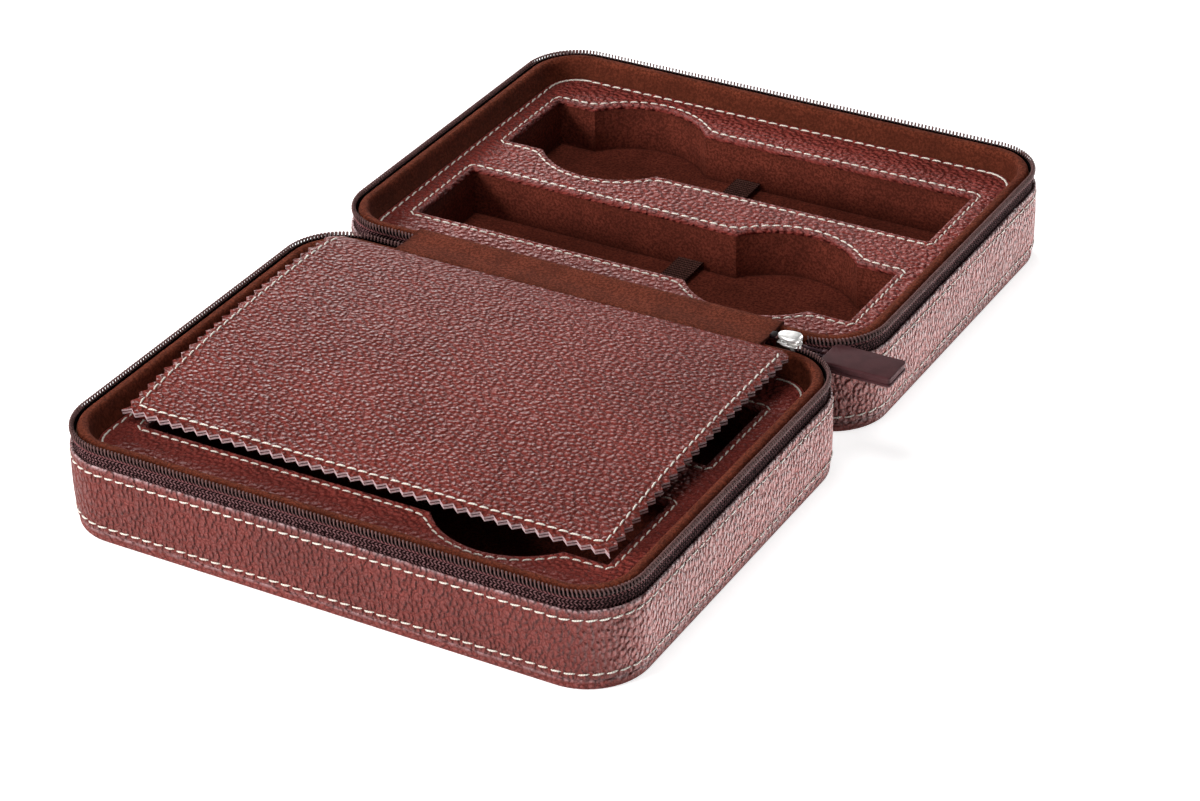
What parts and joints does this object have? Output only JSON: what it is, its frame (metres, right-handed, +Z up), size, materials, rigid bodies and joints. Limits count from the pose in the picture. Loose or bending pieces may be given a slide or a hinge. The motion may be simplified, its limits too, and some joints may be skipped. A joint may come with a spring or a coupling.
{
  "type": "watch travel case",
  "caption": "Zip-round leather travel case for watches, opened flat: two padded trays with suede-lined pockets, a divider page, a hinge strip and a zip slider with a pull tab.",
  "frame": {"origin": "middle of the back tray's underside", "axes": "+X along the hinge towards the slider, +Y from the front tray to the back tray, +Z up"},
  "size_m": [0.235, 0.341, 0.0409],
  "materials": {
    "leather": "pebbled grain, satin",
    "suede": "brushed microsuede",
    "lining_suede": "brushed microsuede",
    "board": "raw fibreboard",
    "foam": "light fibre block",
    "zip_tape": "herringbone weave",
    "zip_coil": "glossy nylon",
    "slider_metal": "polished",
    "pull_tab": "smooth, matt"
  },
  "bodies": {
    "back_tray": {"back_base_leather": "leather", "back_base_board": "board", "back_frame": "board", "back_wall_leather": "leather", "back_zip_tape": "zip_tape", "back_zip_chain": "zip_coil", "back_rim_lining": "suede", "back_panel": "leather", "back_insert": "foam", "back_pocket_lining_a": "lining_suede", "back_pocket_lining_b": "lining_suede", "back_band_a": "zip_tape", "back_band_b": "zip_tape", "back_hinge_web": "leather", "back_hinge_strip": "suede"},
    "front_tray": {"front_base_leather": "leather", "front_base_board": "board", "front_frame": "board", "front_wall_leather": "leather", "front_zip_tape": "zip_tape", "front_zip_chain": "zip_coil", "front_rim_lining": "suede", "front_panel": "leather", "front_insert": "foam", "front_pocket_lining_a": "lining_suede", "front_pocket_lining_b": "lining_suede", "front_band_a": "zip_tape", "front_band_b": "zip_tape", "front_hinge_web": "leather", "front_hinge_strip": "suede"},
    "page": {"page_top_leather": "leather", "page_stiffener": "board", "page_under_leather": "leather"},
    "zip_start": {"zip_stop": "zip_coil", "closed_chain": "zip_coil"},
    "slider": {"slider_body": "slider_metal", "slider_bridge": "slider_metal"},
    "link": {"pull_link": "slider_metal"},
    "tab": {"tab_core": "pull_tab", "tab_face": "pull_tab", "tab_back": "pull_tab"}
  },
  "joints": [
    {"name": "fold", "type": "hinge", "parent": "back_tray", "child": "front_tray", "pos_m": [0, -0.0865, 0.03815], "axis": [-1, 0, 0], "range_deg": [0, 180]},
    {"name": "page_turn", "type": "hinge", "parent": "front_tray", "child": "page", "pos_m": [0, -0.0977, 0.039], "axis": [1, 0, 0], "range_deg": [-160, 0]},
    {"name": "slider_turn", "type": "hinge", "parent": "back_tray", "child": "zip_start", "pos_m": [0, -0.0865, 0.03815], "axis": [-1, 0, 0], "range_deg": [0, 90]},
    {"name": "slider_run", "type": "slide", "parent": "zip_start", "child": "slider", "axis": [1, 0, 0], "range_m": [0, 0.005]},
    {"name": "link_swing", "type": "hinge", "parent": "slider", "child": "link", "pos_m": [0.0863, -0.0865, 0.0348], "axis": [0, 1, 0], "range_deg": [0, 4]},
    {"name": "tab_swing", "type": "hinge", "parent": "link", "child": "tab", "pos_m": [0.0973, -0.0865, 0.0348], "axis": [0, 1, 0], "range_deg": [-6, 14]}
  ],
  "couplings": [
    {"joint": "slider_turn", "follows": "fold", "ratio": 0.5}
  ]
}
